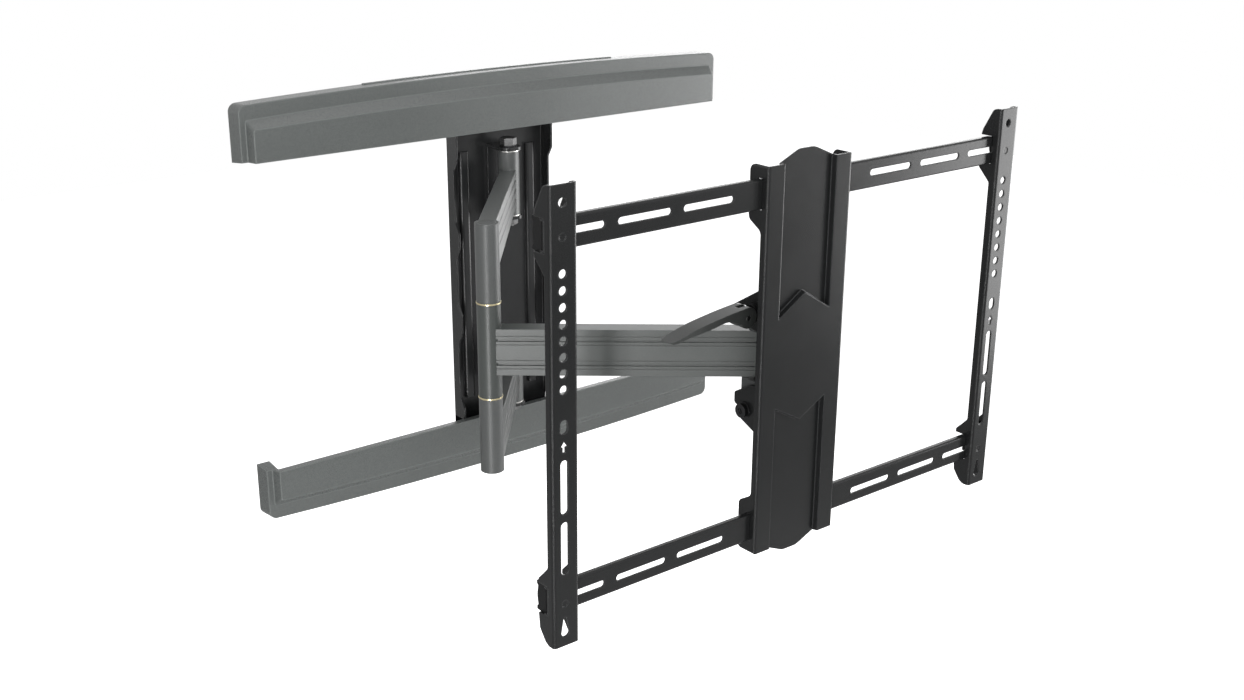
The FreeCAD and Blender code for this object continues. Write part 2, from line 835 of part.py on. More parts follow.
def swivel_head():
    """Block that carries the pan pin between two lugs, the tilt bolt and the clamp bolt."""
    half = head_width / 2
    left = pan_x - half
    right = pan_x + half
    front = face_y + spine_front
    lug_low = outer_low - bearing_gap
    lug_high = outer_high + bearing_gap
    spine = block(left, right, front, face_y + spine_back, head_bottom, head_top)
    reach = pan_y + pan_knuckle_radius
    nose = nose_width / 2
    plan = [(left, front), (left, pan_y - nose_setback), (pan_x - nose, reach, nose_corner),
            (pan_x + nose, reach, nose_corner), (right, pan_y - nose_setback), (right, front)]
    upper_lug = plan_prism(plan, lug_high, lug_high + head_lug)
    heel = tilt_y + tilt_radius + heel_wall
    side = [(front, head_bottom, head_corner), (tilt_y - heel_wall, head_bottom, head_corner),
            (heel, tilt_axis_height - heel_drop, heel_drop), (heel, lug_low), (front, lug_low)]
    head = spine.fuse(upper_lug).fuse(side_prism(side, left, right))
    back = clamp_y + clamp_radius + clamp_wall
    cheek = [(front, lug_high), (back, lug_high), (back, clamp_height, nose_corner),
             (clamp_y, head_top, clamp_wall), (front, head_top, head_corner)]
    for x0, x1 in ((left, left + cheek_sheet), (right - cheek_sheet, right)):
        head = head.fuse(side_prism(cheek, x0, x1))
    head = head.cut(rod_z(pan_x, pan_y, shaft_radius, -pan_pin_depth, lug_high + head_lug + over))
    head = head.cut(rod_x(tilt_y, tilt_axis_height, tilt_radius, left - over, right + over))
    return head.cut(rod_x(clamp_y, clamp_height, clamp_radius, left - over, right + over))


def pan_bolt():
    seat = outer_high + bearing_gap + head_lug
    top = seat + pan_head_height
    shank = rod_z(pan_x, pan_y, shaft_radius, -pan_pin_depth, seat)
    head = rod_z(pan_x, pan_y, pan_head_radius, seat, top)
    socket = hexagon(pan_x, pan_y, pan_socket_flats, top - socket_depth, top + over, True)
    return shank.fuse(head).cut(socket)


def tilt_bolt():
    """Bolt with a round socket head at the left and a threaded end at the right."""
    left = pan_x - bracket_face - axial_play - washer_sheet
    right = pan_x + bracket_face + axial_play + washer_sheet
    tip = left - tilt_head_height
    shank = rod_x(tilt_y, tilt_axis_height, tilt_radius, left, right + nut_height)
    head = rod_x(tilt_y, tilt_axis_height, tilt_head_radius, tip, left)
    socket = hexagon_x(tilt_y, tilt_axis_height, tilt_socket_flats, tip - over, tip + socket_depth, True)
    return shank.fuse(head).cut(socket)


def tilt_washers():
    near = bracket_face + axial_play
    far = near + washer_sheet
    washers = []
    for x0, x1 in ((pan_x - far, pan_x - near), (pan_x + near, pan_x + far)):
        body = rod_x(tilt_y, tilt_axis_height, tilt_rim_radius, x0, x1)
        washers.append(body.cut(rod_x(tilt_y, tilt_axis_height, tilt_radius, x0 - over, x1 + over)))
    return washers


def side_nuts():
    """Nuts on the right-hand ends of the tilt bolt and the clamp bolt."""
    nuts = []
    for y, z, radius, start in ((tilt_y, tilt_axis_height, tilt_radius, washer_sheet),
                                (clamp_y, clamp_height, clamp_radius, 0.0)):
        left = pan_x + bracket_face + axial_play + start
        right = left + nut_height
        nut = hexagon_x(y, z, 2 * (radius + side_nut_margin), left, right, True)
        nuts.append(nut.cut(rod_x(y, z, radius, left - over, right + over)))
    return nuts


def clamp_bolt():
    """Bolt whose left end is a flat tongue with an eye for the lever's pin."""
    seat = pan_x - bracket_face - axial_play - saddle_sheet
    right = pan_x + bracket_face + axial_play + nut_height
    front = clamp_y - tongue_sheet / 2
    back = clamp_y + tongue_sheet / 2
    shank = rod_x(clamp_y, clamp_height, clamp_radius, seat, right)
    neck = block(lever_x, seat, front, back, clamp_height - neck_width / 2, clamp_height + neck_width / 2)
    eye = rod_y(lever_x, clamp_height, tongue_radius, front, back)
    hole = rod_y(lever_x, clamp_height, lever_pin_radius + running_clearance, front - over, back + over)
    return shank.fuse(neck).fuse(eye).cut(hole)


def clamp_saddle():
    left = pan_x - bracket_face - axial_play - saddle_sheet
    right = left + saddle_sheet
    body = rod_x(clamp_y, clamp_height, saddle_radius, left, right)
    return body.cut(rod_x(clamp_y, clamp_height, clamp_radius, left - over, right + over))


def tilt_lever():
    """Forked cam lever: a round cam at the clamp bolt and a thin arched handle to the left."""
    x = lever_x
    z = clamp_height
    front = clamp_y - lever_width / 2
    back = clamp_y + lever_width / 2
    top = [vec(x + a, front, z + b) for a, b in lever_top + [(0.0, cam_radius)]]
    low = [vec(x + a, front, z + b) for a, b in [(0.0, cam_flat - cam_radius)] + lever_low]
    upper = Part.BSplineCurve()
    upper.interpolate(top)
    lower = Part.BSplineCurve()
    lower.interpolate(low)
    outline = Part.Wire([upper.toShape(), Part.makeLine(top[-1], low[0]), lower.toShape(),
                         Part.makeLine(low[-1], top[0])])
    handle = solid_of(outline, vec(0, lever_width, 0))
    tip = x - lever_length
    shoulder = x - lever_shoulder
    end = x + cam_radius + over
    half = lever_tip_width / 2
    c = lever_shoulder_corner
    plan = [(tip, clamp_y - half, lever_tip_corner), (shoulder, front, c), (end, front), (end, back),
            (shoulder, back, c), (tip, clamp_y + half, lever_tip_corner)]
    handle = handle.common(plan_prism(plan, z - lever_width, z + lever_width))
    lever = handle.fuse(rod_y(x, z, cam_radius, front, back))
    gap = tongue_sheet / 2 + tongue_play
    fork = block(x - tongue_radius - tongue_play, end, clamp_y - gap, clamp_y + gap, z - lever_width,
                 z + lever_width)
    lever = lever.cut(fork)
    return lever.cut(rod_y(x, z, lever_pin_radius, front - over, back + over))


def lever_pin():
    half = lever_width / 2
    return rod_y(lever_x, clamp_height, lever_pin_radius, clamp_y - half, clamp_y + half)


# Display frame

def centre_outline():
    """Front outline of the centre plate, with a domed end above and below."""
    half = centre_width / 2
    r = recess_width / 2
    corners = []
    for way in (-1, 1):
        end = display_middle + way * centre_height / 2
        peak = end + way * dome_rise
        row = [(-half, end, centre_corner), (-r, end), (-dome_flat, peak, dome_corner),
               (dome_flat, peak, dome_corner), (r, end), (half, end, centre_corner)]
        corners += row[::-way]
    return offsets_from(pan_x, 0.0, corners)


def recess(grow, front, back):
    """The two pressed recesses, wider in front by the draw, open at the plate's ends, pointed inside."""
    m = display_middle
    tools = []
    shapes = ((pad_high_shoulder, pad_high_apex, -1), (pad_low_shoulder, pad_low_apex, 1))
    for shoulder, apex, way in shapes:
        end = m - way * centre_height
        wires = []
        for y in (front - over, back):
            inward = grow - recess_draft * (y - front) / (back - front)
            h = recess_width / 2 + inward
            s = m + shoulder + way * inward
            a = m + apex + way * inward
            points = [(pan_x - h, s), (pan_x, a), (pan_x + h, s), (pan_x + h, end), (pan_x - h, end)]
            wires.append(loop(points, on_xz(y)))
        tools.append(Part.makeLoft(wires, True, True))
    return tools[0].fuse(tools[1])


def ear_profile(low, high):
    """Side outline of the centre plate's flanges, which deepen to an ear at each end."""
    f = face_y
    w = f + centre_flange
    e = f + ear_depth
    c = ear_corner
    return [(f, low), (e, low, c), (e, low + ear_length, c), (w, low + ear_length + ear_slope, c),
            (w, high - ear_length - ear_slope, c), (e, high - ear_length, c), (e, high, c), (f, high)]


def centre_plate():
    """Pressed plate: strips and middle pad in front, recesses behind, flanges with ears."""
    t = centre_sheet
    left = pan_x - centre_width / 2
    right = pan_x + centre_width / 2
    front = face_y + plate_front
    panel = face_y + panel_front
    deep = face_y + ear_depth + over
    low = display_middle - centre_height / 2
    high = display_middle + centre_height / 2
    bottom = low - dome_rise - over
    top = high + dome_rise + over
    outside = [(left, front, centre_bend), (right, front, centre_bend), (right, deep), (left, deep)]
    inside = [(left + t, front + t, bend_inner), (right - t, front + t, bend_inner),
              (right - t, deep + over), (left + t, deep + over)]
    body = plan_prism(outside, bottom, top).cut(recess(0.0, front, panel))
    hollow = plan_prism(inside, bottom - over, top + over).cut(recess(t, front + t, panel + t))
    body = body.cut(hollow)
    body = body.common(front_prism(centre_outline(), front - over, deep + over))
    flanges = side_prism(ear_profile(low, high), left - over, right + over)
    web = block(left + t, right - t, face_y, face_y + bar_front, bottom, top)
    body = body.common(flanges.fuse(web))
    for level in (-1, 1):
        z = display_middle + level * bar_pitch / 2
        h = bar_height / 2 + bar_window
        window = block(left - over, right + over, face_y + bar_front,
                       face_y + bar_front + bar_flange + bar_window, z - h, z + h)
        body = body.cut(window)
    return body


def crossbar(level):
    """Folded channel bar with a row of long slots to each side of the plate."""
    z = display_middle + level * bar_pitch / 2
    y = face_y + bar_front
    h = bar_height / 2
    half = bar_length / 2
    t = bar_sheet
    section = [(y, z - h, bar_corner), (y, z + h, bar_corner), (y + bar_flange, z + h),
               (y + bar_flange, z + h - t), (y + t, z + h - t), (y + t, z - h + t),
               (y + bar_flange, z - h + t), (y + bar_flange, z - h)]
    bar = side_prism(section, pan_x - half, pan_x + half)
    for side in (-1, 1):
        for k in range(bar_slot_count):
            x = pan_x + side * (bar_slot_last - k * bar_slot_pitch)
            row = z + level * bar_slot_rise
            bar = bar.cut(slot_y(x, row, bar_slot_length, bar_slot_width, y - over, y + t + over))
    return bar


def tilt_bracket():
    """U bracket behind the plate: deep lugs above and below, shallow where the arm passes."""
    t = tilt_plate_sheet
    left = pan_x - bracket_face
    right = pan_x + bracket_face
    base = face_y + bar_front
    inner = base + tilt_base_sheet
    half = tilt_base_height / 2
    waist = face_y + waist_depth
    arm_low = outer_low - waist_margin
    arm_high = outer_high + waist_margin
    outline = [(base, -half), (inner, -half)]
    outline += offsets_from(tilt_y, tilt_axis_height, tilt_lug_outline)
    outline += [(waist + lug_step_low, arm_low - waist_slope, waist_corner),
                (waist, arm_low - waist_slope, waist_corner), (waist, arm_high, waist_corner),
                (clamp_y + lug_step_high, arm_high + lug_step_rise, lug_step_corner)]
    outline += offsets_from(clamp_y, clamp_height, clamp_lug_outline)
    outline += [(inner, half), (base, half)]
    whole = side_prism(outline, left, right)
    inside = block(left + t, right - t, inner, clamp_y + tilt_base_height, -half - over, half + over)
    bracket = whole.cut(inside)
    bracket = bracket.cut(rod_x(tilt_y, tilt_axis_height, tilt_radius + running_clearance, left - over,
                                right + over))
    return bracket.cut(arc_slot(left - over, right + over))


def arc_slot(left, right):
    """Curved slot about the tilt axis that the clamp bolt runs in."""
    dy = clamp_y - tilt_y
    dz = clamp_height - tilt_axis_height
    radius = math.hypot(dy, dz)
    start = math.atan2(dz, dy)
    width = clamp_radius + slot_play

    def at(r, turn):
        a = start + math.radians(turn)
        return vec(left, tilt_y + r * math.cos(a), tilt_axis_height + r * math.sin(a))

    back = tilt_back
    ahead = -tilt_forward
    middle = (back + ahead) / 2
    outer = radius + width
    inner = radius - width
    cap = math.degrees(width / radius)
    wire = Part.Wire([Part.Arc(at(outer, ahead), at(outer, middle), at(outer, back)).toShape(),
                      Part.Arc(at(outer, back), at(radius, back + cap), at(inner, back)).toShape(),
                      Part.Arc(at(inner, back), at(inner, middle), at(inner, ahead)).toShape(),
                      Part.Arc(at(inner, ahead), at(radius, ahead - cap), at(outer, ahead)).toShape()])
    return solid_of(wire, vec(right - left, 0, 0))


# Upright rails

def upright_left(side):
    """Left edge of an upright; the hole line lies nearer to it than to the right edge."""
    return pan_x + side * hole_columns / 2 - hole_from_left


def upright(side):
    """Channel upright with ears that hook over the crossbars, holes and a keyhole."""
    left = upright_left(side)
    right = left + upright_width
    x = left + hole_from_left
    low = display_middle - upright_height / 2
    high = display_middle + upright_height / 2
    t = upright_sheet
    deep = face_y + upright_ear + over
    outside = [(left, face_y, upright_bend), (right, face_y, upright_bend), (right, deep), (left, deep)]
    inside = [(left + t, face_y + t, bend_inner), (right - t, face_y + t, bend_inner),
              (right - t, deep + over), (left + t, deep + over)]
    rail = plan_prism(outside, low, high).cut(plan_prism(inside, low - over, high + over))
    rail = rail.common(side_prism(upright_side(low, high), left - over, right + over))
    front = face_y - over
    back = face_y + t + over
    top_hole = high - top_hole_below_top
    for z in [top_hole] + [high - row_first - k * row_pitch for k in range(row_count)]:
        rail = rail.cut(rod_y(x, z, hole_radius, front, back))
    for z in (high - dimple_drop, low + dimple_low_rise):
        rail = rail.cut(rod_y(x, z, dimple_radius, front, face_y + dimple_depth))
    rail = rail.cut(slot_y(x, low + short_slot_rise, short_slot_length, slot_width, front, back, True))
    for rise in long_slot_rises:
        rail = rail.cut(slot_y(x, low + rise, long_slot_length, slot_width, front, back, True))
    rail = rail.cut(front_prism(arrow(x, low + arrow_rise), front, back))
    return rail.cut(keyhole(x, top_hole - hole_rows, front, back))


def arrow(x, z):
    h = arrow_height / 2
    w = arrow_width / 2
    s = arrow_stem / 2
    return [(x - s, z - h), (x + s, z - h), (x + s, z), (x + w, z), (x, z + h), (x - w, z), (x - s, z)]


def keyhole(x, z, front, back):
    """Teardrop hole: a round mouth below that narrows to a neck at its top."""
    low = z - keyhole_drop
    high = z + keyhole_rise - keyhole_neck
    mouth = rod_y(x, low, keyhole_radius, front, back)
    neck = rod_y(x, high, keyhole_neck, front, back)
    sides = [(x - keyhole_radius, low), (x + keyhole_radius, low), (x + keyhole_neck, high),
             (x - keyhole_neck, high)]
    return mouth.fuse(neck).fuse(front_prism(sides, front, back))


def upright_side(low, high):
    """Side outline of an upright: narrow flanges, ears, and a notch round each crossbar."""
    f = face_y
    n = f + bar_front - clip_play
    w = f + upright_flange
    e = f + upright_ear
    h = bar_height / 2 + notch_play
    upper = display_middle + bar_pitch / 2
    lower = display_middle - bar_pitch / 2
    points = [(f, low)] + offsets_from(f, low, foot_outline)
    points += [(e, lower - h, bend_inner), (n, lower - h, notch_corner), (n, lower + h, notch_corner),
               (e, lower + h, bend_inner)]
    points += offsets_from(e, lower + h, low_lobe_outline)
    points += [(w, lower + h + lobe_length, lobe_corner), (w, upper - h - lobe_length, lobe_corner)]
    points += offsets_from(e, upper - h, high_lobe_outline)
    points += [(e, upper - h, bend_inner), (n, upper - h, notch_corner), (n, upper + h, notch_corner),
               (e, upper + h, bend_inner)]
    return points + offsets_from(e, high, head_outline) + [(f, high)]


def rail_clips(side):
    """Plastic clips inside an upright's outer flange, behind the crossbars that they hold it on."""
    left = upright_left(side) + upright_sheet
    if side > 0:
        left += upright_width - 2 * upright_sheet - clip_width
    right = left + clip_width
    front = face_y + bar_front + bar_flange + clip_play
    foot = face_y + upright_sheet + clip_foot_depth
    deep = face_y + clip_depth
    step = deep - clip_step
    neck = deep - clip_neck
    c = clip_corner
    k = clip_hook_corner
    clips = []
    for level in (-1, 1):
        z = display_middle + level * bar_pitch / 2
        h = bar_height / 2 + notch_play
        low = z - h
        high = z + h
        outline = [(foot, low - clip_foot), (neck, low - clip_foot, c), (neck, low), (deep, low, k),
                   (deep, low + clip_hook, k), (step, low + clip_hook + clip_step, k),
                   (deep, z, clip_belly), (step, high - clip_hook - clip_step, k),
                   (deep, high - clip_hook, k), (deep, high, k), (neck, high),
                   (neck, high + clip_foot, c), (foot, high + clip_foot), (foot, high),
                   (front, high), (front, low), (foot, low)]
        clips.append(side_prism(outline, left, right))
    return clips


os.makedirs("parts", exist_ok=True)
save("wall_plate", wall_plate())
save("upper_wall_rail", wall_rail())
save("lower_wall_rail", flipped(wall_rail()))
save("rail_rivets", rail_rivets())
save("upper_cover", upper_cover())
save("lower_cover", flipped(upper_cover()))
save("upper_pivot_bracket", pivot_bracket(upper_knuckle_low, upper_knuckle_high))
save("lower_pivot_bracket", pivot_bracket(lower_knuckle_low, lower_knuckle_high))
save("upper_pivot_bolt", upper_pivot_bolt())
save("lower_pivot_bolt", lower_pivot_bolt())
save("pivot_nut", pivot_nut())
save("dome_nut", dome_nut())
save("pivot_washers", pivot_washers())
save("upper_inner_arm", inner_arm(upper_knuckle_low, upper_knuckle_high, upper_elbow_low,
                                  upper_elbow_high, True))
save("lower_inner_arm", inner_arm(lower_knuckle_low, lower_knuckle_high, lower_elbow_low,
                                  lower_elbow_high, False))
save("pivot_bushes", pivot_bushes())
save("elbow_shaft", elbow_shaft())
save("elbow_caps", elbow_caps())
save("outer_arm", outer_arm())
save("elbow_bushes", elbow_bushes())
save("pan_washers", pan_washers())
save("swivel_head", swivel_head())
save("pan_bolt", pan_bolt())
save("tilt_bolt", tilt_bolt())
save("tilt_washers", tilt_washers())
save("side_nuts", side_nuts())
save("clamp_bolt", clamp_bolt())
save("clamp_saddle", clamp_saddle())
save("tilt_lever", tilt_lever())
save("lever_pin", lever_pin())
save("centre_plate", centre_plate())
save("tilt_bracket", tilt_bracket())
save("upper_crossbar", crossbar(1))
save("lower_crossbar", crossbar(-1))
save("left_upright", upright(-1))
save("right_upright", upright(1))
save("left_clips", rail_clips(-1))
save("right_clips", rail_clips(1))
print("wall pivot", (0, -pivot_reach), "elbow", (elbow_x, elbow_y), "pan", (pan_x, pan_y))
print("face", face_y, "tilt", (tilt_y, tilt_axis_height), "lever", (lever_x, clamp_y, clamp_height))
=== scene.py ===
import math

import bpy
from mathutils import Matrix, Vector
from bpy.props import FloatProperty, FloatVectorProperty, PointerProperty


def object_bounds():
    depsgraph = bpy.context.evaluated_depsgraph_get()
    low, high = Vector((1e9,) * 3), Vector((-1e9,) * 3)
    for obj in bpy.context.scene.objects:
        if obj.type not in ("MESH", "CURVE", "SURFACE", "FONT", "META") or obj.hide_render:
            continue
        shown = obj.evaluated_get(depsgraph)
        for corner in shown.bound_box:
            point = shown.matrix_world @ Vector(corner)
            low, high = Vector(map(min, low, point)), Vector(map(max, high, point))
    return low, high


bl_info = {
    "name": "Swivelling Wall Mount",
    "version": (1, 0, 0),
    "blender": (4, 5, 0),
    "location": "View3D > Sidebar > Wall Mount",
    "description": "Finishes, lights and camera for a swivelling wall mount",
    "category": "Object",
}

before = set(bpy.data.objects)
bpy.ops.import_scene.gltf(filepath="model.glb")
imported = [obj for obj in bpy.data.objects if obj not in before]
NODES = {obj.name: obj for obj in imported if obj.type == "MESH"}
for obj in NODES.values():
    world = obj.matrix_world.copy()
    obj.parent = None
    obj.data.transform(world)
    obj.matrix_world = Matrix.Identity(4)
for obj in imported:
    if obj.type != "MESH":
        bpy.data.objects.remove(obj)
cad_low, cad_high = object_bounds()

# Headings that turn the drawn lines of each arm along its length, in degrees
INNER_LINES = -50.43
OUTER_LINES = 38.57

# Depth of the coat's and the plastic's grain and of a turned piece's rings, in metres
COAT_DEPTH = 0.0003
RING_DEPTH = 0.00008

# Strength of each relief
COAT_RELIEF = 0.10
PLASTIC_RELIEF = 0.30
RING_RELIEF = 0.22

# Softened edge of each finish as a share of the plain one
COVER_EDGE = 2.2
INNER_EDGE = 1.9
OUTER_EDGE = 0.6
DISPLAY_EDGE = 1.6
METAL_EDGE = 0.6
BUSH_EDGE = 0.5

# Drop in the dot product of the true and the softened normal at which an edge gets its full painted highlight
EDGE_REACH = 0.25

# Patterns, in cells a metre: cloudy patches, patches of gloss and stains
CLOUDS = 14.0
GLOSS_PATCHES = 34.0
STAINS = 160.0

# Patterns stretched along one axis: lines drawn along an arm and the flow of plastic along a cover
DRAWN_LINES = (3.0, 900.0, 900.0)
PLASTIC_FLOW = (2.0, 14.0, 14.0)

# Fine rings of a turned piece, about an upright axis and about one that runs left to right
RINGS_UPRIGHT = (20.0, 20.0, 2600.0)
RINGS_ACROSS = (2600.0, 20.0, 20.0)

# Camera, solved from the photograph's straight edges: metres, degrees and millimetres
CAMERA_PLACE = (-0.9614, -1.4413, 0.5004)
CAMERA_YAW = 38.72
CAMERA_DIP = 19.32
CAMERA_ROLL = 0.36
CAMERA_LENS = 42.99
SENSOR_WIDTH = 36.0

# Soft lights: name, place, width and height in metres, and the stage value that sets the brightness
LIGHTS = (
    ("Right light", (2.2, -1.57, -0.2), (0.75, 1.2), "right"),
    ("Far light", (2.2, -0.7, -0.25), (1.0, 0.9), "far"),
    ("Left light", (-0.9, -2.5, 1.2), (1.6, 1.1), "left"),
    ("Strip light", (-1.68, -1.7, -0.4), (0.26, 1.5), "strip"),
    ("Back light", (1.95, 1.75, 0.05), (1.8, 1.7), "back"),
    ("Top light", (0.1, -0.3, 2.0), (1.8, 1.6), "top"),
)
LIGHTS_AIM = (0.02, -0.25, 0.0)


# Values that a user would change

def colour(name, text, default):
    """A colour property."""
    return FloatVectorProperty(name=name, description=text, default=default, size=3, min=0.0, max=1.0,
                               subtype="COLOR")


def length(name, text, default):
    """A size in metres."""
    return FloatProperty(name=name, description=text, default=default, min=0.0, subtype="DISTANCE",
                         unit="LENGTH")


def share(name, text, default):
    """A property from 0 to 1."""
    return FloatProperty(name=name, description=text, default=default, min=0.0, max=1.0, subtype="FACTOR")


def glow(name, text, default):
    """A light's brightness, whatever its area."""
    return FloatProperty(name=name, description=text, default=default, min=0.0)


class MountCoats(bpy.types.PropertyGroup):
    """Colours, roughness and sheen of the coated and moulded pieces"""
    cover: colour("Cover plastic", "Colour of the two long covers", (0.104, 0.112, 0.109))
    wall: colour("Wall steel", "Coat on the wall plate, rails and pivot brackets", (0.016, 0.0165, 0.017))
    inner: colour("Inner arms", "Coat on the two inner arms", (0.066, 0.070, 0.069))
    outer: colour("Outer arm", "Coat on the outer arm", (0.041, 0.0465, 0.0437))
    head: colour("Swivel head", "Coat on the head block", (0.046, 0.048, 0.049))
    display: colour("Display steel", "Coat on the centre plate, crossbars and uprights",
                    (0.0095, 0.010, 0.0103))
    lever: colour("Tilt lever", "Coat on the cam lever", (0.029, 0.031, 0.030))
    clips: colour("Clips", "Plastic of the clips and the saddle", (0.003, 0.0032, 0.0034))
    cover_roughness: share("Cover roughness", "Roughness of the moulded covers", 0.28)
    steel_roughness: share("Steel roughness", "Roughness of the coated steel", 0.24)
    arm_roughness: share("Arm roughness", "Roughness of the coated arms and lever", 0.38)
    clip_roughness: share("Clip roughness", "Roughness of the clips and the saddle", 0.45)
    cap_roughness: share("Cap roughness", "Roughness of the elbow's end caps", 0.4)
    cover_sheen: share("Cover sheen", "How strongly the covers mirror, 0.5 being plain plastic", 0.5)
    steel_sheen: share("Steel sheen", "How strongly the display steel mirrors, 0.5 being plain paint", 0.32)
    wall_sheen: share("Wall sheen", "How strongly the wall steel's coat mirrors", 0.5)
    arm_sheen: share("Arm sheen", "How strongly the coat on the arms and the head mirrors", 0.75)
    lever_sheen: share("Lever sheen", "How strongly the lever's coat mirrors", 0.4)
    clip_sheen: share("Clip sheen", "How strongly the clips mirror", 0.2)
    cap_sheen: share("Cap sheen", "How strongly the end caps mirror", 0.5)


class MountMetals(bpy.types.PropertyGroup):
    """Colours and roughness of the bare metals, and the sizes of every finish's grain and edges"""
    brass: colour("Brass", "Elbow bushes and pan washers", (0.86, 0.74, 0.47))
    zinc: colour("Zinc", "Bolts, nuts and pins", (0.20, 0.20, 0.20))
    pale: colour("Pale bushes", "Bushes in the inner arms' knuckles", (0.80, 0.79, 0.76))
    dark: colour("Dark washers", "Blackened washers", (0.05, 0.05, 0.052))
    brass_roughness: share("Brass roughness", "Roughness of the brass bushes and washers", 0.28)
    zinc_roughness: share("Zinc roughness", "Roughness of bolts, nuts and pins", 0.32)
    pale_roughness: share("Pale roughness", "Roughness of the pale bushes", 0.30)
    dark_roughness: share("Dark roughness", "Roughness of the blackened washers", 0.42)
    grain: length("Grain", "Size of the coat's grain", 0.0011)
    edge: length("Edge", "Width of the softened edges", 0.0011)


class MountStage(bpy.types.PropertyGroup):
    """Brightness of the lights, and the floor's place"""
    right: glow("Right light", "Brightness of the soft light at the right", 6.5)
    far: glow("Far light", "Brightness of the light behind it, nearer the wall", 4.0)
    left: glow("Left light", "Brightness of the panel at the left front", 5.5)
    strip: glow("Strip light", "Brightness of the narrow light that lines the left-hand bends", 16.0)
    back: glow("Back light", "Brightness of the light behind at the right", 2.3)
    top: glow("Top light", "Brightness of the light overhead", 1.1)
    fill: share("Fill", "Strength of the world on the object", 0.32)
    floor_drop: length("Floor drop", "How far the floor lies under the mount", 1.0)


def coats():
    """The scene's coat values."""
    return bpy.context.scene.mount_coats


def metals():
    """The scene's metal values."""
    return bpy.context.scene.mount_metals


# Material parts

def fresh(name):
    """A new material with its output and Principled shader joined, and Object coordinates to hand."""
    made = bpy.data.materials.new(name)
    made.use_nodes = True
    tree = made.node_tree
    tree.nodes.clear()
    out = tree.nodes.new("ShaderNodeOutputMaterial")
    shader = tree.nodes.new("ShaderNodeBsdfPrincipled")
    tree.links.new(shader.outputs["BSDF"], out.inputs["Surface"])
    place = tree.nodes.new("ShaderNodeTexCoord")
    return made, tree, shader, place.outputs["Object"]


def stretched(tree, source, scale, turn=(0.0, 0.0, 0.0)):
    """Object coordinates turned and stretched by a Mapping node."""
    mapping = tree.nodes.new("ShaderNodeMapping")
    mapping.inputs["Scale"].default_value = scale
    mapping.inputs["Rotation"].default_value = turn
    tree.links.new(source, mapping.inputs["Vector"])
    return mapping.outputs["Vector"]


def noise(tree, source, scale, detail=3.0, roughness=0.55):
    """A noise from 0 to 1, at so many cells a metre."""
    made = tree.nodes.new("ShaderNodeTexNoise")
    made.inputs["Scale"].default_value = scale
    made.inputs["Detail"].default_value = detail
    made.inputs["Roughness"].default_value = roughness
    tree.links.new(source, made.inputs["Vector"])
    return made.outputs["Fac"]


def ranged(tree, source, low, high):
    """The middle of a noise, 0.3 to 0.7, spread over low to high."""
    made = tree.nodes.new("ShaderNodeMapRange")
    made.inputs["From Min"].default_value = 0.3
    made.inputs["From Max"].default_value = 0.7
    made.inputs["To Min"].default_value = low
    made.inputs["To Max"].default_value = high
    tree.links.new(source, made.inputs["Value"])
    return made.outputs["Result"]


def mixed(tree, factor, first, second):
    """A colour between two, by a factor socket."""
    made = tree.nodes.new("ShaderNodeMix")
    made.data_type = "RGBA"
    tree.links.new(factor, made.inputs["Factor"])
    for slot, value in ((6, first), (7, second)):
        if isinstance(value, bpy.types.NodeSocket):
            tree.links.new(value, made.inputs[slot])
        else:
            made.inputs[slot].default_value = (*value, 1.0)
    return made.outputs[2]


def scaled(rgb, amount):
    """A colour made lighter or darker, and never past white."""
    return tuple(min(1.0, c * amount) for c in rgb)


def relief(tree, shader, height, strength, distance, edge):
    """A bump over softened edges: the Bevel node rounds the normal, the Bump node adds the grain."""
    soft = tree.nodes.new("ShaderNodeBevel")
    soft.samples = 4
    soft.inputs["Radius"].default_value = edge
    bump = tree.nodes.new("ShaderNodeBump")
    bump.inputs["Strength"].default_value = strength
    bump.inputs["Distance"].default_value = distance
    tree.links.new(height, bump.inputs["Height"])
    tree.links.new(soft.outputs["Normal"], bump.inputs["Normal"])
    tree.links.new(bump.outputs["Normal"], shader.inputs["Normal"])
    return soft


def edge_share(tree, soft):
    """How far the softened normal leaves the true one: 0 on a flat, rising to 1 along an edge."""
    geometry = tree.nodes.new("ShaderNodeNewGeometry")
    dot = tree.nodes.new("ShaderNodeVectorMath")
    dot.operation = "DOT_PRODUCT"
    tree.links.new(geometry.outputs["Normal"], dot.inputs[0])
    tree.links.new(soft.outputs["Normal"], dot.inputs[1])
    made = tree.nodes.new("ShaderNodeMapRange")
    made.inputs["From Min"].default_value = 1.0
    made.inputs["From Max"].default_value = 1.0 - EDGE_REACH
    made.inputs["To Min"].default_value = 0.0
    made.inputs["To Max"].default_value = 1.0
    tree.links.new(dot.outputs["Value"], made.inputs["Value"])
    return made.outputs["Result"]


